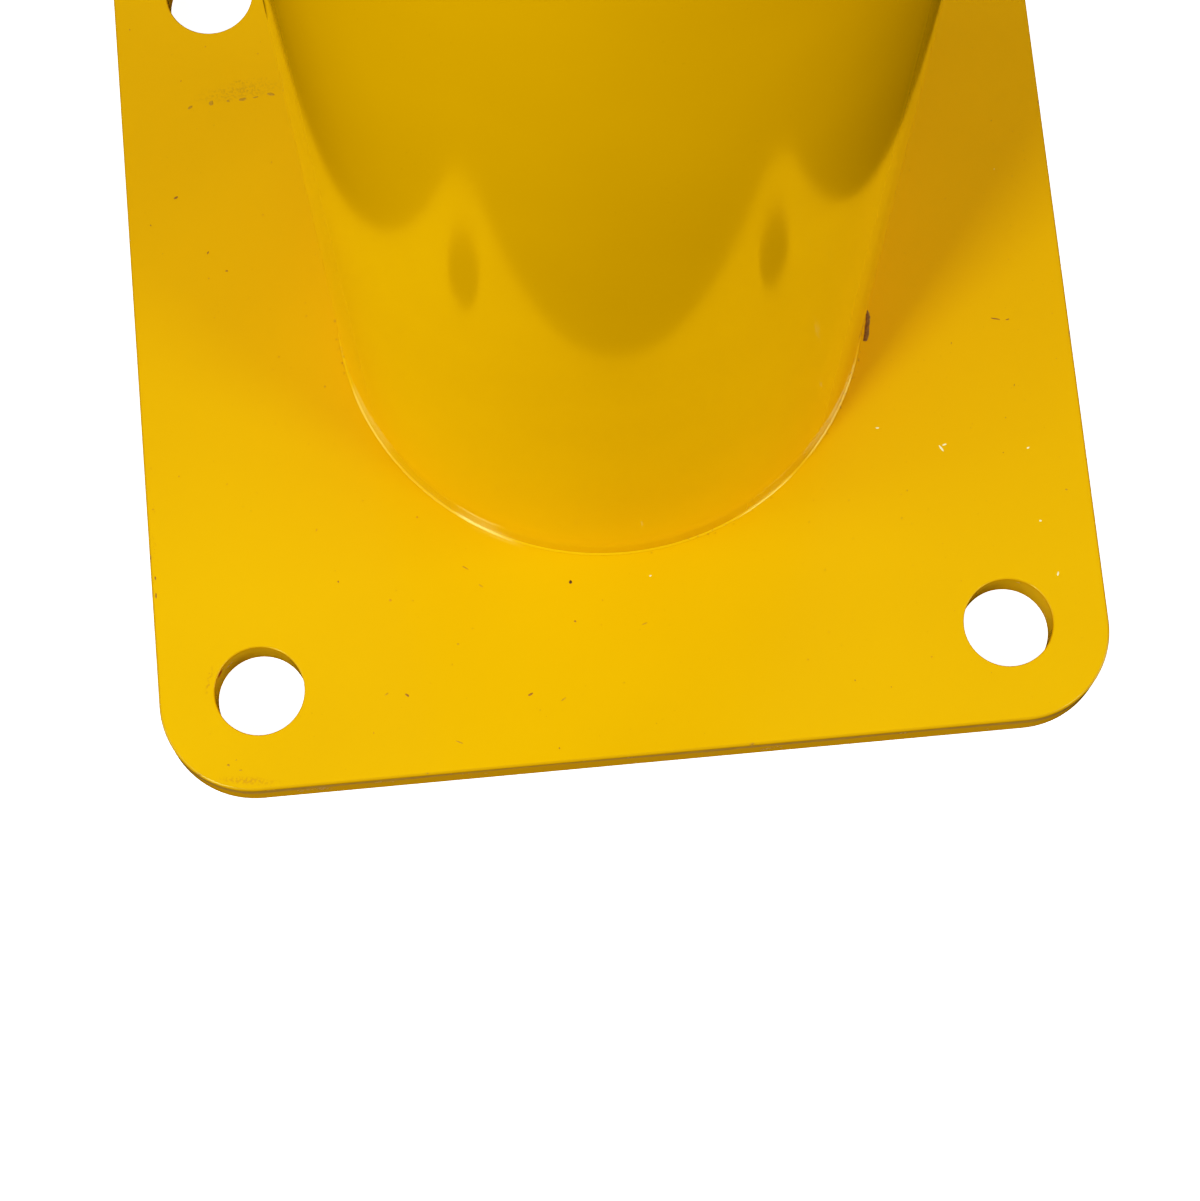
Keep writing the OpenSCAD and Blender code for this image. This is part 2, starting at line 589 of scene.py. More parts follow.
@dataclass(frozen=True)
class MouldedRubber:
    """Matt black moulded rubber with a fine mould texture and a little dust on top."""

    colour: Colour = (0.014, 0.014, 0.015)
    dust_colour: Colour = (0.10, 0.095, 0.085)

    def material(self, name: str) -> bpy.types.Material:
        """Builds the finish.

        Args:
            name: the material's name.

        Returns:
            The material.
        """
        made, graph = new_material(name)
        stipple = graph.grain(0.5 * MM, 2.0)
        cloud = graph.grain(14 * MM, 4.0)
        flow = graph.grain(30 * MM, 2.0)
        base = graph.blend(flow.ramp(0.35, 0.65), self.colour, tuple(1.7 * c for c in self.colour))
        facing = graph.node("ShaderNodeNewGeometry", {}, {}).outputs["Normal"]
        upward = graph.node("ShaderNodeSeparateXYZ", {}, {"Vector": facing}).outputs["Z"]
        settled = Value(graph, upward).ramp(0.75, 1.0) * cloud.ramp(0.42, 0.72)
        specks = graph.grain(0.45 * MM, 1.0).ramp(0.70, 0.76)
        dusty = settled * (specks * 0.35 + 0.22)
        graph.finish(
            {
                "Base Color": graph.blend(dusty, base, self.dust_colour),
                "Roughness": stipple.ramp(0.3, 0.7, 0.52, 0.62) + dusty * 0.3,
                "IOR": 1.5,
                "Normal": graph.bump(stipple, 0.02 * MM, graph.bump(flow, 0.15 * MM)),
            }
        )
        return made


@dataclass(frozen=True)
class PaleFloor:
    """Plain pale floor, which can be seen through from beneath."""

    colour: Colour = (0.93, 0.93, 0.925)
    glow: float = 1.45

    def material(self, name: str) -> bpy.types.Material:
        """Builds the finish.

        Args:
            name: the material's name.

        Returns:
            The material.
        """
        made, graph = new_material(name)
        pale = graph.node(
            "ShaderNodeBsdfPrincipled",
            {},
            {
                "Base Color": (*self.colour, 1.0),
                "Roughness": 0.9,
                "Specular IOR Level": 0.1,
                "Emission Color": (*self.colour, 1.0),
                "Emission Strength": self.glow,
            },
        )
        clear = graph.node("ShaderNodeBsdfTransparent", {}, {})
        beneath = graph.node("ShaderNodeNewGeometry", {}, {}).outputs["Backfacing"]
        sockets = {0: beneath, 1: pale.outputs[0], 2: clear.outputs[0]}
        either = graph.node("ShaderNodeMixShader", {}, sockets)
        graph.node("ShaderNodeOutputMaterial", {}, {"Surface": either.outputs[0]})
        return made


# ---------------------------------------------------------------- mesh building


def arc(centre: Point2, radius: float, start: float, end: float, steps: int) -> list[Point2]:
    """Points along an arc.

    Args:
        centre: its centre.
        radius: its radius.
        start: the angle of its first point, in degrees.
        end: the angle of its last point, in degrees.
        steps: how many stretches it is made of.

    Returns:
        The points, ends included.
    """
    angles = [math.radians(start + (end - start) * i / steps) for i in range(steps + 1)]
    return [(centre[0] + radius * math.cos(a), centre[1] + radius * math.sin(a)) for a in angles]


class Draft:
    """A mesh under construction."""

    def __init__(self) -> None:
        """Starts with nothing."""
        self.mesh = bmesh.new()

    def loop(self, points: Iterable[Sequence[float]]) -> list[bmesh.types.BMVert]:
        """Adds a row of vertices."""
        return [self.mesh.verts.new(p) for p in points]

    def skin(self, loops: Sequence[Sequence[bmesh.types.BMVert]], closed: bool = True) -> None:
        """Joins each row to the next with quads.

        Args:
            loops: the rows, of equal length.
            closed: whether each row comes back to its first vertex.
        """
        count = len(loops[0])
        for low, high in zip(loops, loops[1:]):
            for i in range(count if closed else count - 1):
                j = (i + 1) % count
                self.mesh.faces.new((low[i], low[j], high[j], high[i]))

    def cap(self, *loops: Sequence[bmesh.types.BMVert]) -> None:
        """Fills the flat area between an outline and the holes in it.

        Args:
            loops: the outline and the holes, each as its row of vertices.
        """
        edges = []
        for loop in loops:
            for a, b in zip(loop, [*loop[1:], loop[0]]):
                edges.append(self.mesh.edges.get((a, b)) or self.mesh.edges.new((a, b)))
        bmesh.ops.triangle_fill(self.mesh, use_beauty=True, use_dissolve=False, edges=edges)

    def lathe(self, profile: Sequence[Point2], segments: int) -> None:
        """Turns a closed outline, or one that starts and ends on the axis, about Z.

        Args:
            profile: radius and height of each point.
            segments: how many steps there are in the turn.
        """
        rings = []
        for radius, height in profile:
            if radius < 1e-7:
                rings.append([self.mesh.verts.new((0.0, 0.0, height))])
                continue
            turn = [math.tau * i / segments for i in range(segments)]
            rings.append(self.loop((radius * math.cos(a), radius * math.sin(a), height) for a in turn))
        pairs = list(zip(rings, rings[1:]))
        if len(rings[0]) > 1:
            pairs.append((rings[-1], rings[0]))
        for low, high in pairs:
            for i in range(segments):
                j = (i + 1) % segments
                corners = [low[i % len(low)], low[j % len(low)], high[j % len(high)], high[i % len(high)]]
                self.mesh.faces.new(list(dict.fromkeys(corners)))

    def piece(self, name: str) -> bpy.types.Object:
        """Turns the draft into an object with smooth shading that keeps its flats flat.

        Args:
            name: the object's name.

        Returns:
            The object, linked to the scene.
        """
        bmesh.ops.recalc_face_normals(self.mesh, faces=self.mesh.faces)
        data = bpy.data.meshes.new(name)
        self.mesh.to_mesh(data)
        self.mesh.free()
        data.shade_smooth()
        made = bpy.data.objects.new(name, data)
        bpy.context.scene.collection.objects.link(made)
        weighted = made.modifiers.new("flat_faces", "WEIGHTED_NORMAL")
        weighted.weight = 100
        weighted.keep_sharp = True
        return made


def paint_weight(piece: bpy.types.Object, zone: Zone, rule: Callable[[Vector], float]) -> None:
    """Stores a weight at each vertex.

    Args:
        piece: the object.
        zone: the weight's name.
        rule: gives the weight at a point.
    """
    stored = piece.data.attributes.new(zone.value, "FLOAT", "POINT")
    stored.data.foreach_set("value", [rule(v.co) for v in piece.data.vertices])


def dress(piece: bpy.types.Object, finish: Any, body: Body, replaced: Sequence[str] = ()) -> None:
    """Gives a piece its finish and its place in the model.

    Args:
        piece: the object.
        finish: the finish, with a material method.
        body: the body that it rides on.
        replaced: the CAD nodes that it stands for.
    """
    piece.data.materials.append(finish.material(piece.name + "_finish"))
    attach(piece, body.value)
    if replaced:
        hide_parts(*replaced)
    LOG.info("%s: %d faces, on %s", piece.name, len(piece.data.polygons), body.value)


# ---------------------------------------------------------------- the bollard


def span(node: str, axis: int) -> float:
    """The size of a CAD node along one axis."""
    low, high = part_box(node)
    return high[axis] - low[axis]


def mount(name: str) -> dict[str, Any]:
    """One of the record's mounts, by name."""
    return next(m for m in frame["record"]["mounts"] if m["name"] == name)


@dataclass
class BasePlate:
    """Square steel plate with rounded corners, four anchor holes and a centre hole for the post."""

    width: float = field(default_factory=lambda: span("base_plate", 0))
    thickness: float = field(default_factory=lambda: span("base_plate", 2))
    corner: float = 20 * MM
    edge: float = 0.6 * MM
    hole_edge: float = 0.3 * MM
    pitch: float = field(default_factory=lambda: mount("anchor_holes")["dims"]["spacing_x_mm"] * MM)
    hole: float = field(default_factory=lambda: mount("anchor_holes")["dims"]["hole_r_mm"] * MM)
    socket: float = field(default_factory=lambda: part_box("root_weld")[1].x)
    edge_steps: int = 4
    corner_steps: int = 24
    straight_steps: int = 40
    hole_steps: int = 72

    def _outline(self, inset: float, height: float) -> list[tuple[float, float, float]]:
        """One loop round the plate.

        Args:
            inset: how far inside the plate's full outline it runs.
            height: its height.

        Returns:
            Its points.
        """
        middle = self.width / 2 - self.corner
        radius = self.corner - inset
        loop = []
        for quarter in range(4):
            turn = Matrix.Rotation(math.radians(90 * quarter), 2)
            steps = range(self.straight_steps)
            side = [(middle + radius, middle * (2 * i / self.straight_steps - 1)) for i in steps]
            bend = arc((middle, middle), radius, 0, 90, self.corner_steps)[:-1]
            for point in side + bend:
                x, y = turn @ Vector(point)
                loop.append((x, y, height))
        return loop

    def _profile(self, edge: float) -> list[tuple[float, float]]:
        """Inset and height of each loop from the upper face, over both rounded edges, to the lower face.

        Args:
            edge: the radius of the rounded edges.

        Returns:
            The pairs.
        """
        top = arc((edge, self.thickness - edge), edge, 90, 180, self.edge_steps)
        low = arc((edge, edge), edge, 180, 270, self.edge_steps)
        wall = [(0.0, self.thickness * share) for share in (0.84, 0.66, 0.5, 0.34, 0.16)]
        return top + wall + low

    def _zones(self, piece: bpy.types.Object) -> None:
        """Marks the cut walls and the rounded rims.

        Args:
            piece: the plate.
        """
        top, edge = self.thickness, self.edge

        def on_wall(point: Vector) -> float:
            """1 on the upright walls."""
            return 1.0 if edge * 0.8 < point.z < top - edge * 0.8 else 0.0

        def on_side(point: Vector) -> float:
            """1 on the walls of the plate's outline."""
            reach = self.width / 2 - 0.35 * self.corner
            return on_wall(point) if max(abs(point.x), abs(point.y)) > reach else 0.0

        def on_rim(point: Vector) -> float:
            """1 on the rounded upper edges."""
            return 1.0 if top - edge * 1.2 < point.z < top - 0.01 * MM else 0.0

        paint_weight(piece, Zone.CUT, on_wall)
        paint_weight(piece, Zone.SHEARED, on_side)
        paint_weight(piece, Zone.RIM, on_rim)

    def build(self, finish: Enamel) -> bpy.types.Object:
        """Builds and dresses the plate.

        Args:
            finish: its enamel.

        Returns:
            The piece.
        """
        draft = Draft()
        rows = [draft.loop(self._outline(inset, z)) for inset, z in self._profile(self.edge)]
        draft.skin(rows)
        tops, lows = [rows[0]], [rows[-1]]
        half = self.pitch / 2
        centres = [(x * half, y * half) for x in (-1, 1) for y in (-1, 1)]
        bores = [(c, self.hole, self.hole_edge, self.hole_steps) for c in centres]
        bores.append(((0.0, 0.0), self.socket, self.hole_edge, 4 * self.hole_steps))
        for centre, radius, edge, steps in bores:
            rings = []
            for inset, z in self._profile(edge):
                ring = arc(centre, radius + inset, 0, 360, steps)[:-1]
                rings.append(draft.loop((x, y, z) for x, y in ring))
            draft.skin(rings)
            tops.append(rings[0])
            lows.append(rings[-1])
        draft.cap(*tops)
        draft.cap(*lows)
        piece = draft.piece("plate_enamelled")
        self._zones(piece)
        dress(piece, finish, Body.BOLLARD, ["base_plate"])
        return piece


@dataclass
class Post:
    """Steel pipe that stands in the plate, enamelled outside and over its rims."""

    radius: float = field(default_factory=lambda: span("post_tube", 0) / 2)
    wall: float = 6 * MM
    low: float = field(default_factory=lambda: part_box("post_tube")[0].z)
    high: float = field(default_factory=lambda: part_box("post_tube")[1].z)
    rim: float = 0.5 * MM
    segments: int = 256
    rim_steps: int = 4
    wall_steps: int = 48
    overspray: float = 70 * MM

    def build(self, finish: Enamel) -> bpy.types.Object:
        """Builds and dresses the pipe.

        Args:
            finish: its enamel.

        Returns:
            The piece.
        """
        bore = self.radius - self.wall
        rise = self.high - self.rim - self.low
        heights = [self.low + rise * i / self.wall_steps for i in range(self.wall_steps)]
        outside = [(self.radius, z) for z in heights]
        over = arc((self.radius - self.rim, self.high - self.rim), self.rim, 0, 90, self.rim_steps)
        back = arc((bore + self.rim, self.high - self.rim), self.rim, 90, 180, self.rim_steps)
        inside = [(bore, z) for z in reversed(heights)]
        draft = Draft()
        draft.lathe(outside + over + back + inside, self.segments)
        piece = draft.piece("post_enamelled")

        def in_bore(point: Vector) -> float:
            """Rises from 0 at the pipe's ends to 1 deep in the bore, beyond the overspray.

            Args:
                point: the point on the pipe.

            Returns:
                The weight there.
            """
            if math.hypot(point.x, point.y) > bore + 0.1 * MM:
                return 0.0
            depth = min(self.high - point.z, point.z - self.low)
            return min(1.0, max(0.0, depth / self.overspray))

        def on_rim(point: Vector) -> float:
            """1 on the rim of the pipe's mouth."""
            return 1.0 if point.z > self.high - self.rim * 1.1 else 0.0

        paint_weight(piece, Zone.INSIDE, in_bore)
        paint_weight(piece, Zone.RIM, on_rim)
        dress(piece, finish, Body.BOLLARD, ["post_tube"])
        return piece


@dataclass
class SeamFlash:
    """Flash of the pipe's lengthways weld, left standing a little proud of the bore."""

    bore: float
    low: float = field(default_factory=lambda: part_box("seam_bead")[0].z)
    high: float = field(default_factory=lambda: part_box("seam_bead")[1].z)
    width: float = 4 * MM
    height: float = 0.8 * MM
    angle: float = 100.0
    steps: int = 340
    across: int = 8

    def build(self, finish: RawSteel) -> bpy.types.Object:
        """Builds and dresses the flash.

        Args:
            finish: its bare steel.

        Returns:
            The piece.
        """
        draft = Draft()
        rows = []
        for i in range(self.steps + 1):
            z = self.low + (self.high - self.low) * i / self.steps
            swell = 0.85 + 0.25 * noise.noise(Vector((0.0, 3.0, z / (6 * MM))))
            wander = 0.25 * MM * noise.noise(Vector((7.0, 0.0, z / (40 * MM))))
            face, back = [], []
            for j in range(self.across + 1):
                share = 2 * j / self.across - 1
                turn = math.radians(self.angle) + (share * self.width / 2 + wander) / self.bore
                crest = (self.height * swell) * math.cos(share * math.pi / 2) ** 0.8
                for side, reach in ((face, self.bore + 0.1 * MM - crest), (back, self.bore + 0.3 * MM)):
                    side.append((reach * math.cos(turn), reach * math.sin(turn), z))
            rows.append(draft.loop(face + back[::-1]))
        draft.skin(rows)
        draft.cap(rows[0])
        draft.cap(rows[-1])
        piece = draft.piece("seam_flash")
        dress(piece, finish, Body.BOLLARD, ["seam_bead"])
        return piece


@dataclass
class FootFillet:
    """Small smooth fillet in the corner between post and plate, with one short bare strip along its toe."""

    radius: float
    base: float
    leg: float = 0.27 * MM
    reach: float = 0.42 * MM
    fullness: float = 0.75
    sway: float = 0.07
    sink: float = 0.05 * MM
    proud: float = 0.004 * MM
    arc_steps: int = 12
    steps: int = 720
    bare_length: float = 7 * MM
    bare_angle: float = -11.0
    bare_start: tuple[float, float] = (0.95 * MM, 1.0 * MM)
    bare_width: tuple[float, float] = (1.3 * MM, 0.95 * MM)
    bare_height: float = 0.05 * MM
    bare_sway: float = 0.1 * MM
    bare_steps: int = 60

    def _section(self, leg: float, reach: float) -> list[Point2]:
        """The fillet's cross-section, from its toe on the plate to its toe on the post and back.

        Args:
            leg: its height up the post.
            reach: its width across the plate.

        Returns:
            Radius and height of each point.
        """
        curve = []
        for i in range(self.arc_steps + 1):
            share = i / self.arc_steps
            turn = share * math.pi / 2
            across = self.fullness * (1 - share) + (1 - self.fullness) * (1 - math.sin(turn))
            rise = self.fullness * share + (1 - self.fullness) * (1 - math.cos(turn))
            curve.append((self.radius + reach * across, self.base + leg * rise + self.proud))
        return curve + [
            (self.radius - self.sink, self.base + leg),
            (self.radius - self.sink, self.base - self.sink),
            (self.radius + reach, self.base - self.sink),
        ]

    def _ring(self) -> Draft:
        """Sweeps the section all round the post, swaying a little in size.

        Returns:
            The draft of the fillet.
        """
        draft = Draft()
        rows = []
        for i in range(self.steps):
            turn = math.tau * i / self.steps
            sway = self.sway * noise.noise(Vector((math.cos(turn), math.sin(turn), 0.0)) * 4.0)
            section = self._section(self.leg * (1.0 + sway), self.reach * (1.0 - sway))
            rows.append(draft.loop((r * math.cos(turn), r * math.sin(turn), z) for r, z in section))
        draft.skin([*rows, rows[0]])
        return draft

    def _bare_strip(self) -> Draft:
        """Lays the bare strip, thin and ragged, along the outer toe.

        Returns:
            The draft of the strip.
        """
        draft = Draft()
        rows = []
        for i in range(self.bare_steps + 1):
            share = i / self.bare_steps
            turn = math.radians(self.bare_angle) + self.bare_length / self.radius * (share - 0.5)
            place = Vector((math.cos(turn), math.sin(turn), 2.0))
            ragged = 0.22 * noise.noise(place * 60.0) + 0.12 * noise.noise(place * 170.0)
            tapered = (1.0 - abs(2 * share - 1) ** 8) ** 0.5
            start = self.bare_start[0] * (1 - share) + self.bare_start[1] * share
            width = self.bare_width[0] * (1 - share) + self.bare_width[1] * share
            width *= (0.45 + 0.55 * tapered) * (1.0 + ragged)
            start += self.radius + self.bare_sway * noise.noise(place * 90.0)
            high, low = self.base + self.bare_height, self.base - self.sink
            section = [(start, low), (start + 0.1 * width, high), (start + 0.85 * width, high), (start + width, low)]
            rows.append(draft.loop((r * math.cos(turn), r * math.sin(turn), z) for r, z in section))
        draft.skin(rows)
        draft.cap(rows[0])
        draft.cap(rows[-1])
        return draft

    def build(self, enamel: Enamel, bare: RawSteel) -> list[bpy.types.Object]:
        """Builds and dresses the painted fillet and its bare strip.

        Args:
            enamel: the painted fillet's finish.
            bare: the bare strip's finish.

        Returns:
            Both pieces.
        """
        ring = self._ring().piece("fillet_enamelled")
        dress(ring, enamel, Body.BOLLARD, ["foot_fillet"])
        strip = self._bare_strip().piece("fillet_bare_stretch")
        dress(strip, bare, Body.BOLLARD)
        return [ring, strip]


@dataclass
class RootWeld:
    """Weld under the plate, laid in the corner between the pipe's end and the centre hole."""

    inner: float
    outer: float = field(default_factory=lambda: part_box("root_weld")[1].x)
    low: float = field(default_factory=lambda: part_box("root_weld")[0].z)
    high: float = field(default_factory=lambda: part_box("root_weld")[1].z)
    ripple: float = 2.2 * MM
    ripple_depth: float = 0.16 * MM
    across: int = 8
    per_ripple: int = 8

    def build(self, finish: Enamel) -> bpy.types.Object:
        """Builds and dresses the weld.

        Args:
            finish: its enamel.

        Returns:
            The piece.
        """
        draft = Draft()
        ripples = round(math.tau * self.outer / self.ripple)
        count = ripples * self.per_ripple
        toe_in = Vector((self.inner, self.high - 0.02 * MM))
        toe_out = Vector((self.outer, self.low))
        slope = toe_out - toe_in
        outward = Vector((slope.y, -slope.x)).normalized() * (1.0 if slope.y < 0 else -1.0)
        rows = []
        for i in range(count):
            turn = math.tau * i / count
            row = []
            for j in range(self.across + 1):
                share = j / self.across
                bow = math.sin(share * math.pi)
                phase = turn * ripples + 1.6 * bow
                lift = bow * (0.25 * MM + self.ripple_depth * math.cos(phase))
                lift += bow * 0.1 * MM * noise.noise(Vector((math.cos(turn), math.sin(turn), share)) * 9.0)
                point = toe_in + slope * share + outward * lift
                row.append((point.x * math.cos(turn), point.x * math.sin(turn), point.y))
            row.append((self.outer * math.cos(turn), self.outer * math.sin(turn), self.high))
            row.append((self.inner * math.cos(turn), self.inner * math.sin(turn), self.high))
            rows.append(draft.loop(row))
        draft.skin([*rows, rows[0]])
        piece = draft.piece("root_weld_enamelled")
        dress(piece, finish, Body.BOLLARD, ["root_weld"])
        return piece


@dataclass
class Flecks:
    """Specks of dirt, nibs and small scratches that lie on the plate's paint."""

    plate: BasePlate
    post_radius: float
    known: Sequence[Mark] = ()
    scattered: int = 170
    height: float = 0.025 * MM
    corners: int = 11
    seed: int = 11

    def _free(self, x: float, y: float) -> bool:
        """Whether a point is on the plate's flat top, clear of the post and the holes.

        Args:
            x: its place across the plate.
            y: its place from front to back.

        Returns:
            Whether a speck may lie there.
        """
        plate = self.plate
        if max(abs(x), abs(y)) > plate.width / 2 - 3 * MM or math.hypot(x, y) < self.post_radius + 4 * MM:
            return False
        inner = plate.width / 2 - plate.corner
        if min(abs(x), abs(y)) > inner and math.hypot(abs(x) - inner, abs(y) - inner) > plate.corner - 3 * MM:
            return False
        half = plate.pitch / 2
        return math.hypot(abs(x) - half, abs(y) - half) > plate.hole + 2 * MM

    def _scatter(self) -> list[Mark]:
        """Strews small specks over the plate.

        Returns:
            The specks, in millimetres.
        """
        dice = random.Random(self.seed)
        half = self.plate.width / 2
        made: list[Mark] = []
        while len(made) < self.scattered:
            x, y = dice.uniform(-half, half), dice.uniform(-half, half)
            patchy = noise.noise(Vector((x * 25, y * 25, 0.0))) + dice.uniform(-0.5, 0.5)
            if not self._free(x, y) or patchy < 0.0:
                continue
            length = 0.22 + 0.5 * dice.random() ** 3
            tone = dice.choices([Tone.OCHRE, Tone.GRIME, Tone.BROWN, Tone.PALE], [56, 36, 7, 1])[0]
            width, turn = length * dice.uniform(0.4, 0.9), dice.uniform(0, 180)
            made.append(Mark(x / MM, y / MM, 0.0, length, width, turn, tone))
        return made

    def _add(self, draft: Draft, mark: Mark) -> None:
        """Adds one low, ragged blob.

        Args:
            draft: the mesh to add it to.
            mark: where it lies and how big it is.
        """
        turn = Matrix.Rotation(math.radians(mark.turn), 2)
        base = self.plate.thickness
        rings = []
        for share, height in ((1.0, -self.height), (0.85, 0.6 * self.height), (0.45, self.height)):
            ring = []
            for i in range(self.corners):
                angle = math.tau * i / self.corners
                ragged = 1.0 + 0.35 * noise.noise(Vector((mark.x + math.cos(angle), mark.y + math.sin(angle), 1.0)))
                across = Vector((mark.length * math.cos(angle), mark.width * math.sin(angle))) * ragged * share / 2
                x, y = turn @ across
                ring.append(((mark.x + x) * MM, (mark.y + y) * MM, base + height))
            rings.append(draft.loop(ring))
        draft.skin(rings)
        draft.mesh.faces.new(rings[-1])
        draft.mesh.faces.new(rings[0])

    def build(self, gloss: float = 0.35) -> list[bpy.types.Object]:
        """Builds and dresses the flecks, one piece for each tone.

        Args:
            gloss: the roughness of a fleck.

        Returns:
            The pieces.
        """
        by_tone: dict[Tone, list[Mark]] = {}
        for mark in [*self.known, *self._scatter()]:
            by_tone.setdefault(mark.tone, []).append(mark)
        made = []
        for tone, marks in by_tone.items():
            draft = Draft()
            for mark in marks:
                self._add(draft, mark)
            piece = draft.piece("flecks_" + tone.name.lower())
            dress(piece, Dirt(tone.value, gloss), Body.BOLLARD)
            made.append(piece)
        return made


@dataclass
class EndCap:
    """Soft push-in cap: a domed head that seats on the pipe's mouth, over a hollow finned plug."""

    seat: float
    bore: float
    radius: float = field(default_factory=lambda: span("end_cap", 0) / 2)
    bottom: float = field(default_factory=lambda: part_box("end_cap")[0].z)
    top: float = field(default_factory=lambda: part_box("end_cap")[1].z)
    side: float = 3.5 * MM
    edge: float = 3 * MM
    skin: float = 6 * MM
    plug_gap: float = 2 * MM
    plug_wall: float = 3.2 * MM
    fin_gap: float = 0.3 * MM
    fin_height: float = 3 * MM
    fins: int = 3
    segments: int = 192

    def _crown(self, drop: float) -> tuple[float, float]:
        """The sphere of the crown, or of its hollow side.

        Args:
            drop: how far inside the outer crown it lies.

        Returns:
            Its radius and the height of its centre.
        """
        rise = self.top - self.seat
        across, fall = self.radius - self.edge, rise - self.edge
        centre = (across**2 + self.side**2 - fall**2) / (2 * (self.side - fall))
        return rise - centre - drop, self.seat + centre

    def _head(self) -> list[Point2]:
        """The head's outside, from the axis out over the crown and round its edge to the seat.

        Returns:
            Radius and height of each point.
        """
        radius, centre = self._crown(0.0)
        across = self.radius - self.edge
        steep = math.degrees(math.atan2(self.seat + self.side - centre, across))
        crown = [(0.0, self.top)] + arc((0.0, centre), radius, 90, steep, 40)[1:]
        edge = arc((across, self.seat + self.side), self.edge, steep, 0, 8)[1:]
        lip = 0.5 * MM
        under = arc((self.radius - lip, self.seat + lip), lip, 0, -90, 4)
        return crown + edge + under

    def _plug(self) -> list[Point2]:
        """The plug's outside, down over its fins, round its end and up its hollow to the axis.

        Returns:
            Radius and height of each point.
        """
        outer = self.bore - self.plug_gap
        tip = self.bore - self.fin_gap
        step = (self.seat - self.bottom) / (self.fins + 1)
        points = [(outer + 0.6 * MM, self.seat), (outer, self.seat - 0.6 * MM)]
        for i in range(1, self.fins + 1):
            z = self.seat - i * step
            points += [(outer, z + 0.4 * MM), (outer + 0.4 * MM, z)]
            points += arc((tip - 0.35 * MM, z - 0.35 * MM), 0.35 * MM, 90, -40, 5)
            points += [(outer + 0.3 * MM, z - self.fin_height * 0.85), (outer, z - self.fin_height)]
        inner = outer - self.plug_wall
        round_end = 0.8 * MM
        points += arc((outer - round_end, self.bottom + round_end), round_end, 0, -90, 4)
        points += arc((inner + round_end, self.bottom + round_end), round_end, 270, 180, 4)
        radius, centre = self._crown(self.skin)
        meet = math.degrees(math.acos((inner - 1.5 * MM) / radius))
        roof_z = centre + radius * math.sin(math.radians(meet))
        points += [(inner, roof_z - 1.5 * MM), (inner - 0.45 * MM, roof_z - 0.45 * MM)]
        points += arc((0.0, centre), radius, meet, 88.5, 30)
        return points + [(radius * math.cos(math.radians(88.5)) * 0.5, centre + radius), (0.0, centre + radius)]

    def _gate(self) -> bpy.types.Object:
        """The small witness of the moulding gate in the middle of the crown.

        Returns:
            The piece, not yet dressed.
        """
        low = self.top - 0.35 * MM
        draft = Draft()
        profile = [(0.0, self.top - 0.02 * MM), (1.1 * MM, self.top - 0.03 * MM), (1.5 * MM, self.top - 0.12 * MM)]
        profile += [(2.6 * MM, low + 0.28 * MM), (2.8 * MM, low), (0.0, low)]
        draft.lathe(profile, 32)
        return draft.piece("cap_gate_mark")

    def build(self, finish: MouldedRubber) -> list[bpy.types.Object]:
        """Builds and dresses the cap.

        Args:
            finish: its rubber.

        Returns:
            The pieces.
        """
        draft = Draft()
        draft.lathe(self._head() + self._plug(), self.segments)
        cap = draft.piece("cap_moulding")
        dress(cap, finish, Body.CAP, ["end_cap"])
        gate = self._gate()
        dress(gate, finish, Body.CAP)
        return [cap, gate]


# ---------------------------------------------------------------- studio


@dataclass
class SoftLight:
    """One soft rectangular light, which stands round the post and faces its foot."""

    name: str
    azimuth: float
    elevation: float
    width: float
    height: float
    watts: float
    distance: float = 1.6
    aim: Sequence[float] = (0.0, 0.0, 0.1)
    mirrored: bool = True

    def build(self) -> bpy.types.Object:
        """Adds the light.

        Returns:
            The light's object.
        """
        data = bpy.data.lights.new(self.name, "AREA")
        data.shape = "RECTANGLE"
        data.size, data.size_y = self.width, self.height
        data.energy = self.watts
        made = bpy.data.objects.new(self.name, data)
        round_to, up = math.radians(self.azimuth), math.radians(self.elevation)
        away = Vector((math.cos(up) * math.cos(round_to), math.cos(up) * math.sin(round_to), math.sin(up)))
        made.location = Vector(self.aim) + away * self.distance
        towards = Vector(self.aim) - made.location
        made.rotation_euler = towards.to_track_quat("-Z", "Y").to_euler()
        made.visible_camera = False
        made.visible_glossy = self.mirrored
        bpy.context.scene.collection.objects.link(made)
        return made


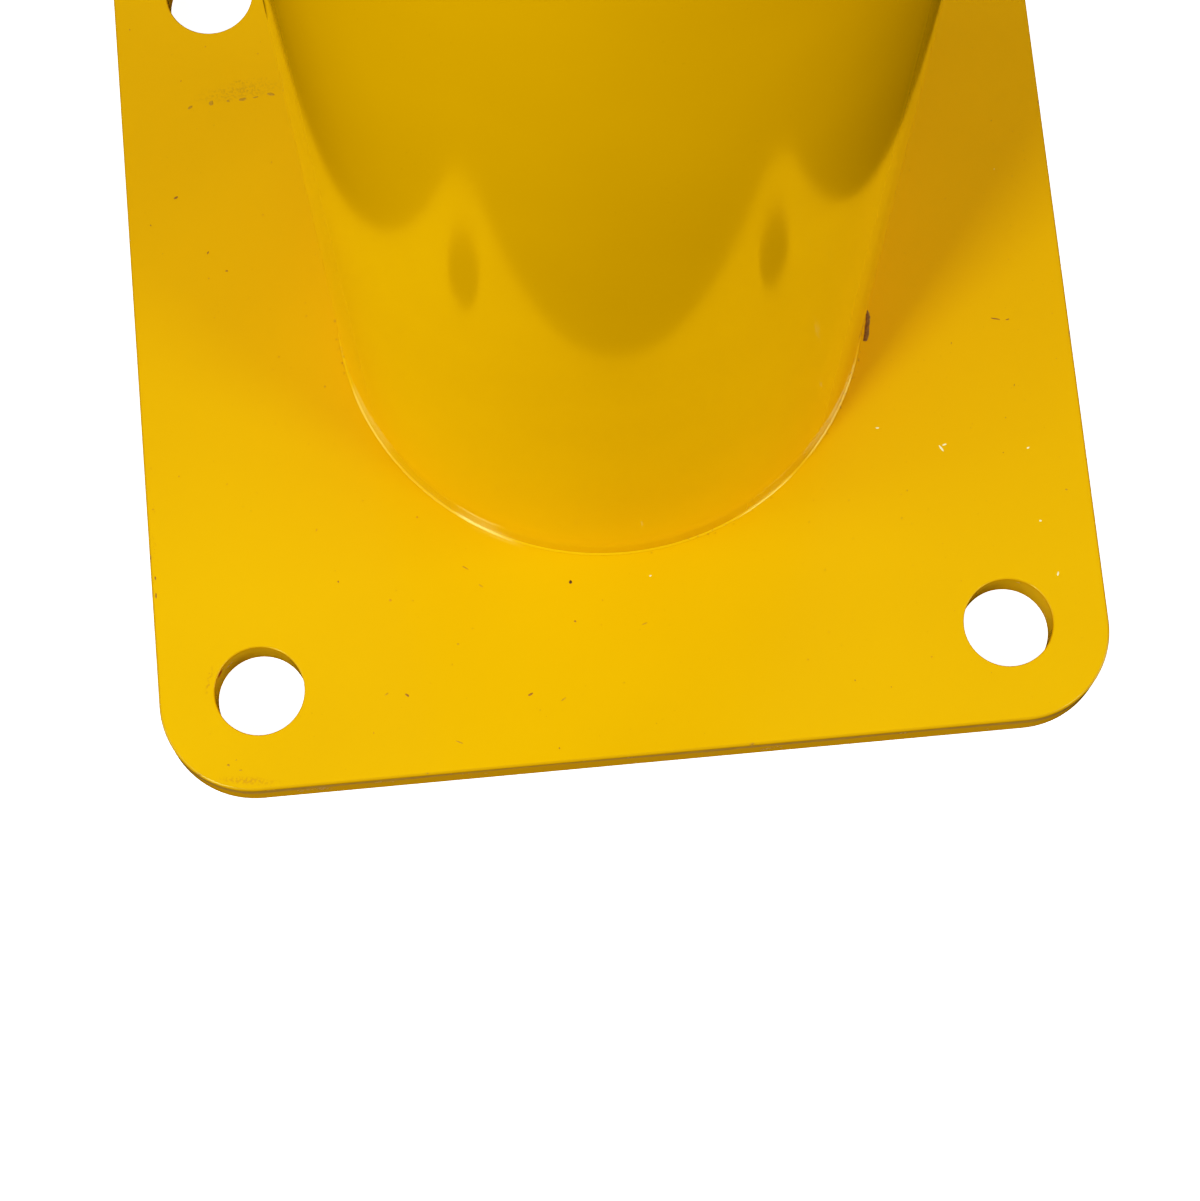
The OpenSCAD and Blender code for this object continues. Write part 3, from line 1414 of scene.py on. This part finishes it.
@dataclass
class Studio:
    """Pale floor, soft lights, dim surroundings and the camera."""

    floor_half: float = 9.0
    floor_drop: float = 0.2 * MM
    eye: Sequence[float] = (-0.02459, -0.23913, 0.70955)
    aim: Sequence[float] = (-0.00629, -0.06725, 0.00953)
    roll: float = 0.70
    lens: float = 101.1
    sky: float = 0.2
    backdrop: float = 1.5
    lights: Sequence[SoftLight] = (
        SoftLight("left_key", 227, 30, 0.3, 0.9, 12.0),
        SoftLight("left_key_high", 227, 50, 0.3, 0.5, 7.0),
        SoftLight("left_side", 186, 24, 0.5, 0.8, 7.4),
        SoftLight("left_high", 205, 45, 0.5, 0.5, 3.6),
        SoftLight("right_side", 346, 20, 0.7, 0.6, 10.9),
        SoftLight("right_key", 320, 42, 0.35, 0.6, 7.6),
        SoftLight("back_box", 90, 35, 1.2, 0.8, 3.0),
        SoftLight("under_box", 270, -90, 0.3, 0.3, 3.5, 0.8, (0.0, 0.0, 0.0), mirrored=False),
    )
    response: Sequence[Point2] = (
        (0.0, 0.0), (0.5, 0.5), (0.65, 0.62), (0.8, 0.726), (1.0, 0.838), (1.2, 0.93), (1.45, 1.0),
    )

    def _floor(self) -> None:
        """Lays the floor, which mirrors in nothing, throws no light back and casts no shadow."""
        draft = Draft()
        size, low = self.floor_half, -self.floor_drop
        near = draft.loop([(-size, -size, low), (size, -size, low)])
        far = draft.loop([(-size, size, low), (size, size, low)])
        draft.skin([near, far], closed=False)
        floor = draft.piece("floor")
        floor.data.materials.append(PaleFloor().material("pale_floor"))
        floor.visible_glossy = False
        floor.visible_diffuse = False
        floor.visible_shadow = False

    def _surroundings(self) -> None:
        """Lights the scene softly from above, and leaves it dim below the horizon."""
        world = bpy.data.worlds.new("studio")
        bpy.context.scene.world = world
        world.use_nodes = True
        graph = Graph(world.node_tree)
        along = graph.node("ShaderNodeTexCoord", {}, {}).outputs["Generated"]
        up = Value(graph, graph.node("ShaderNodeSeparateXYZ", {}, {"Vector": along}).outputs["Z"])
        level = up.ramp(0.0, 0.4, 0.0, self.sky)
        seen = graph.node("ShaderNodeLightPath", {}, {}).outputs["Is Camera Ray"]
        soft = graph.node("ShaderNodeBackground", {}, {"Color": (1.0, 1.0, 1.0, 1.0), "Strength": level})
        white = (1.0, 1.0, 1.0, 1.0)
        pale = graph.node("ShaderNodeBackground", {}, {"Color": white, "Strength": self.backdrop})
        both = graph.node("ShaderNodeMixShader", {}, {0: seen, 1: soft.outputs[0], 2: pale.outputs[0]})
        graph.node("ShaderNodeOutputWorld", {}, {"Surface": both.outputs[0]})

    def _camera(self) -> None:
        """Places the camera."""
        data = bpy.data.cameras.new("camera")
        data.lens = self.lens
        data.clip_start = 0.01
        made = bpy.data.objects.new("camera", data)
        towards = (Vector(self.aim) - Vector(self.eye)).normalized()
        facing = towards.to_track_quat("-Z", "Y").to_matrix()
        made.matrix_world = Matrix.Translation(self.eye) @ (
            facing @ Matrix.Rotation(math.radians(self.roll), 3, "Z")
        ).to_4x4()
        bpy.context.scene.collection.objects.link(made)
        bpy.context.scene.camera = made

    def _exposure(self) -> None:
        """Sets how light turns into picture values, with a soft shoulder that keeps bright yellow from clipping."""
        settings = bpy.context.scene.view_settings
        settings.view_transform = "Standard"
        settings.use_curve_mapping = True
        mapping = settings.curve_mapping
        brightest = self.response[-1][0]
        mapping.white_level = (brightest, brightest, brightest)
        curve = mapping.curves[3]
        for light, value in self.response[1:-1]:
            curve.points.new(light / brightest, value)
        mapping.update()

    def build(self) -> None:
        """Builds the whole studio."""
        self._floor()
        self._surroundings()
        for light in self.lights:
            light.build()
        self._camera()
        self._exposure()


def plate_marks(top: float) -> tuple[Mark, ...]:
    """The handling marks on the plate.

    Args:
        top: the height of its upper face, in millimetres.

    Returns:
        The marks, in millimetres.
    """
    return (
        Mark(-75.0, 56.0, top, 26.0, 5.0, 4.0, Tone.GRIME, 0.45, 0.8),
        Mark(-73.0, 58.4, top, 13.0, 1.6, 2.0, Tone.GRIME, 0.4, 0.5),
        Mark(-90.6, -77.0, top, 8.5, 1.5, 76.0, Tone.OCHRE, 0.75, 0.7),
        Mark(-84.0, -99.3, top, 17.0, 2.4, -8.0, Tone.OCHRE, 0.7, 0.8),
        Mark(-99.9, -29.0, top, 6.0, 1.2, 99.0, Tone.OCHRE, 0.7, 0.1),
        Mark(-100.1, -37.6, top, 3.6, 1.3, 100.0, Tone.OCHRE, 0.75, 0.1),
        Mark(-100.3, -47.5, top, 9.0, 1.5, 92.0, Tone.OCHRE, 0.4, 0.2),
        Mark(-88.3, -75.3, top - 1.5, 2.4, 1.6, 60.0, Tone.RED, 0.95, 0.0, 1.1),
    )


PLATE_FLECKS: tuple[Mark, ...] = (
    Mark(-86.2, 53.3, 0.0, 1.4, 0.7, 35.0, Tone.GRIME),
    Mark(-81.5, 53.9, 0.0, 1.4, 1.1, 60.0, Tone.GRIME),
    Mark(-77.7, 54.1, 0.0, 0.8, 0.6, 0.0, Tone.GRIME),
    Mark(-74.4, 54.2, 0.0, 1.9, 0.8, 5.0, Tone.GRIME),
    Mark(-71.6, 54.4, 0.0, 1.3, 0.4, 10.0, Tone.GRIME),
    Mark(-68.1, 54.8, 0.0, 2.0, 0.8, -15.0, Tone.GRIME),
    Mark(-65.0, 55.6, 0.0, 1.2, 0.5, 20.0, Tone.GRIME),
    Mark(-90.7, 32.4, 0.0, 1.1, 0.6, 30.0, Tone.BROWN),
    Mark(-84.5, 19.0, 0.0, 0.8, 0.4, 60.0, Tone.BROWN),
    Mark(-80.7, 14.4, 0.0, 0.7, 0.4, 0.0, Tone.BROWN),
    Mark(-12.2, -62.6, 0.0, 0.9, 0.7, 80.0, Tone.DARK),
    Mark(-34.3, -57.4, 0.0, 1.8, 0.25, -35.0, Tone.BROWN),
    Mark(-31.4, -61.6, 0.0, 1.3, 0.25, -40.0, Tone.GRIME),
    Mark(-22.9, -86.3, 0.0, 1.4, 0.5, 25.0, Tone.BROWN),
    Mark(-49.0, -84.0, 0.0, 1.1, 0.5, -40.0, Tone.BROWN),
    Mark(-53.3, -83.4, 0.0, 1.1, 0.3, 30.0, Tone.GRIME),
    Mark(-12.0, -71.3, 0.0, 0.6, 0.5, 0.0, Tone.BROWN),
    Mark(-16.0, -88.0, 0.0, 1.5, 0.3, 30.0, Tone.GRIME),
    Mark(-38.8, -95.2, 0.0, 2.0, 0.3, -25.0, Tone.GRIME),
    Mark(-85.3, -96.9, 0.0, 0.7, 0.35, 0.0, Tone.GRIME),
    Mark(2.7, -73.2, 0.0, 1.4, 0.3, 15.0, Tone.GRIME),
    Mark(85.6, -12.2, 0.0, 2.6, 0.35, -15.0, Tone.BROWN),
    Mark(88.2, -12.6, 0.0, 1.0, 0.35, 10.0, Tone.BROWN),
    Mark(70.4, -40.4, 0.0, 2.0, 0.4, -60.0, Tone.PALE),
    Mark(71.2, -39.6, 0.0, 1.0, 0.35, 10.0, Tone.PALE),
    Mark(57.1, -34.5, 0.0, 0.9, 0.4, 0.0, Tone.PALE),
    Mark(89.1, -42.0, 0.0, 0.8, 0.4, 30.0, Tone.PALE),
    Mark(89.7, -58.5, 0.0, 0.6, 0.4, 0.0, Tone.PALE),
    Mark(92.0, -70.5, 0.0, 1.0, 0.4, 75.0, Tone.PALE),
    Mark(5.0, -62.8, 0.0, 0.6, 0.35, 20.0, Tone.PALE),
    Mark(-100.6, -53.4, 0.0, 0.9, 0.4, 90.0, Tone.BROWN),
    Mark(-100.7, -57.4, 0.0, 1.7, 0.35, 90.0, Tone.BROWN),
)


def main() -> None:
    """Builds the bollard piece by piece, and then the studio round it."""
    logging.basicConfig(level=logging.INFO, format="%(name)s: %(message)s")
    plate = BasePlate()
    post = Post()
    fillet = FootFillet(post.radius, plate.thickness)
    foot = {"foot_radius": post.radius + fillet.reach, "foot_height": plate.thickness}
    plate.build(Enamel(marks=plate_marks(plate.thickness / MM), **foot))
    post.build(Enamel())
    bore = post.radius - post.wall
    SeamFlash(bore).build(RawSteel((0.20, 0.125, 0.04), rust=0.35, shine=0.3))
    rusty = RawSteel((0.15, 0.072, 0.016), (0.26, 0.105, 0.018), shine=0.0, specular=0.1, grain_size=0.5 * MM)
    fillet.build(Enamel(**foot), rusty)
    RootWeld(bore + ROOT_LAND).build(Enamel())
    Flecks(plate, post.radius, PLATE_FLECKS).build()
    EndCap(post.high, bore).build(MouldedRubber())
    Studio().build()


if __name__ == "__main__":
    main()
